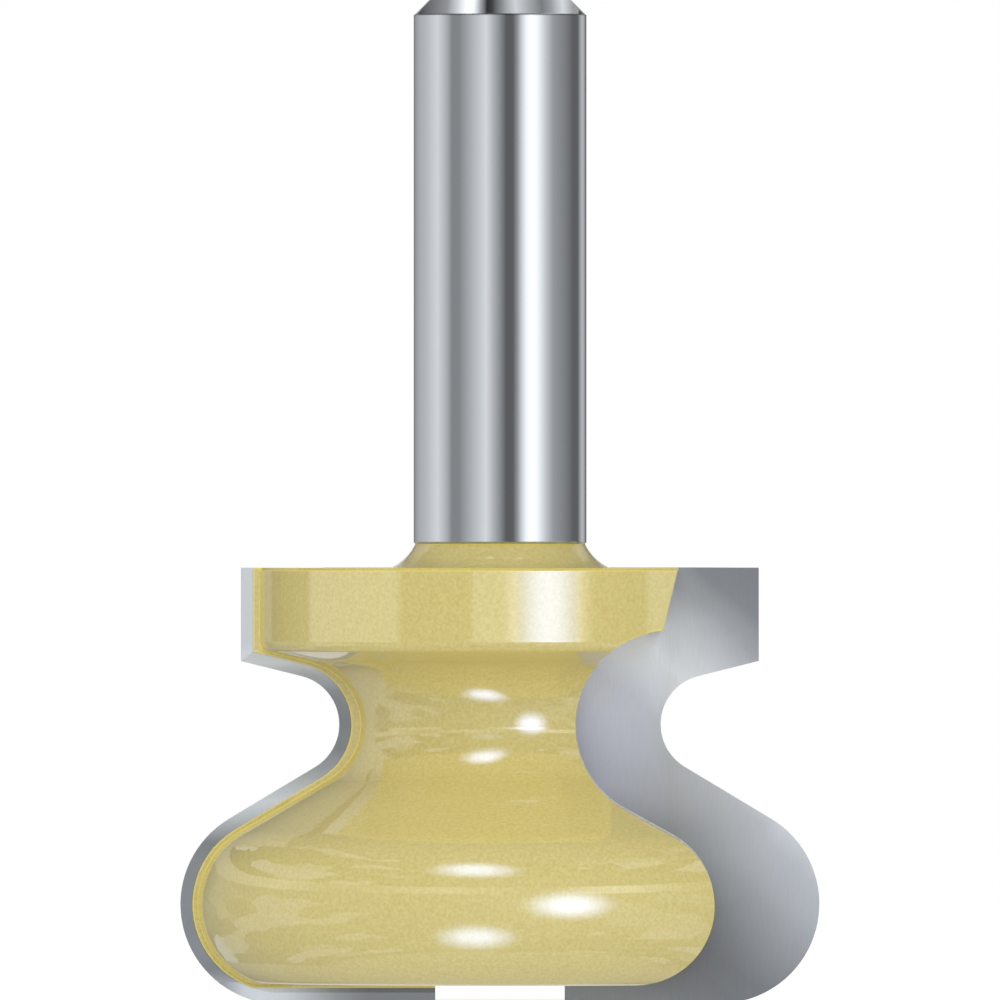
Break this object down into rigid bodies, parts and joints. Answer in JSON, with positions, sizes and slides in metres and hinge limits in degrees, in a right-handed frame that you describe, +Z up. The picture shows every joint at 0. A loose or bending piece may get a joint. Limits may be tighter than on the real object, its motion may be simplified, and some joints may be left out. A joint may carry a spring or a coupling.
{
  "type": "router bit",
  "caption": "Finger-pull router bit: waisted head with a round nose and a flange, brazed carbide tips and a straight half-inch shank.",
  "frame": {"origin": "on the axis, in the plane of the two bottom cutting edges that the bit stands on", "axes": "+Z up the axis to the free end of the shank; +X outwards along the first tip, whose cutting face looks to -Y"},
  "size_m": [0.0468, 0.0446, 0.0737],
  "materials": {
    "coated_body": "pale gold non-stick coating on the head and collar; the shank is bare ground steel",
    "carbide": "fine-ground grey tungsten carbide"
  },
  "bodies": {
    "root": {"cutter_body": "coated_body", "carbide_tip_1": "carbide", "carbide_tip_2": "carbide"}
  },
  "joints": []
}
